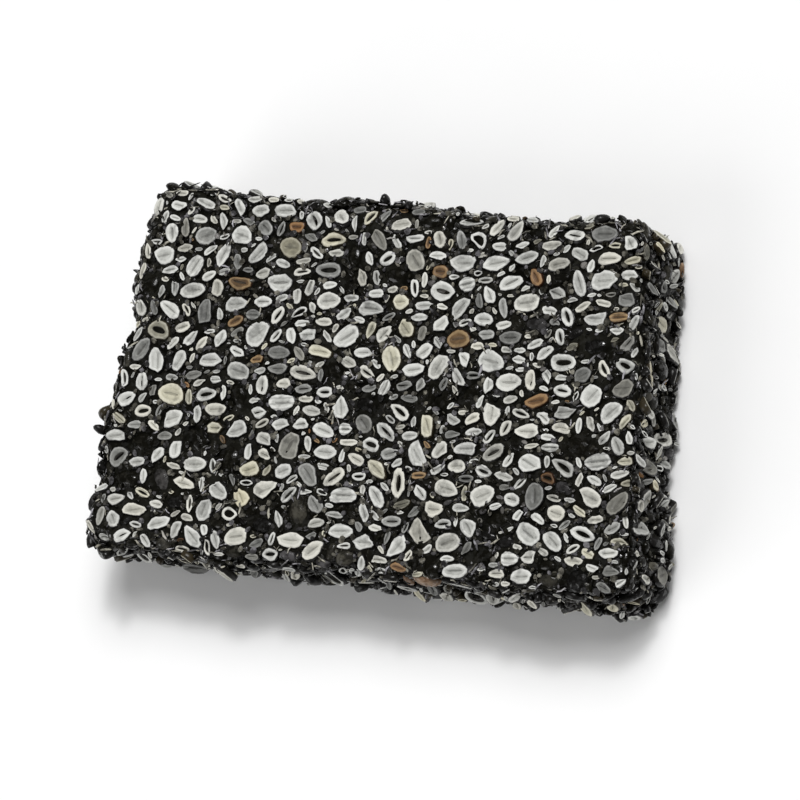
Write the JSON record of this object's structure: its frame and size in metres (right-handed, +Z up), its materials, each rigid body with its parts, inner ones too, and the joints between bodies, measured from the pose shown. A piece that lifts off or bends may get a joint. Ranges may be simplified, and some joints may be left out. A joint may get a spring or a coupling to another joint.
{
  "type": "sesame brittle slab",
  "caption": "Flat four-sided slab of sesame brittle: broad faces of cut seeds set in hard dark syrup, with crumbly edges of whole seeds.",
  "frame": {"origin": "bottom centre: the middle of the slab's outline, on the surface that it lies on", "axes": "+X along the slab's length, towards its right end in the main view; +Y across it, towards its shorter long edge; +Z up, through its thickness"},
  "size_m": [0.0576, 0.037, 0.01],
  "materials": {
    "syrup_and_black_seeds": "glossy near-black hard syrup and black seed coats, crumbly",
    "cut_seeds": "pale grey flats of cut seeds, with lighter rims, slightly uneven, satin",
    "cream_seeds": "cream seeds with a warm roasted tone, satin",
    "amber_seeds": "dull amber and brown roasted seeds, satin"
  },
  "bodies": {
    "root": {"brittle_slab": "syrup_and_black_seeds"}
  },
  "joints": []
}
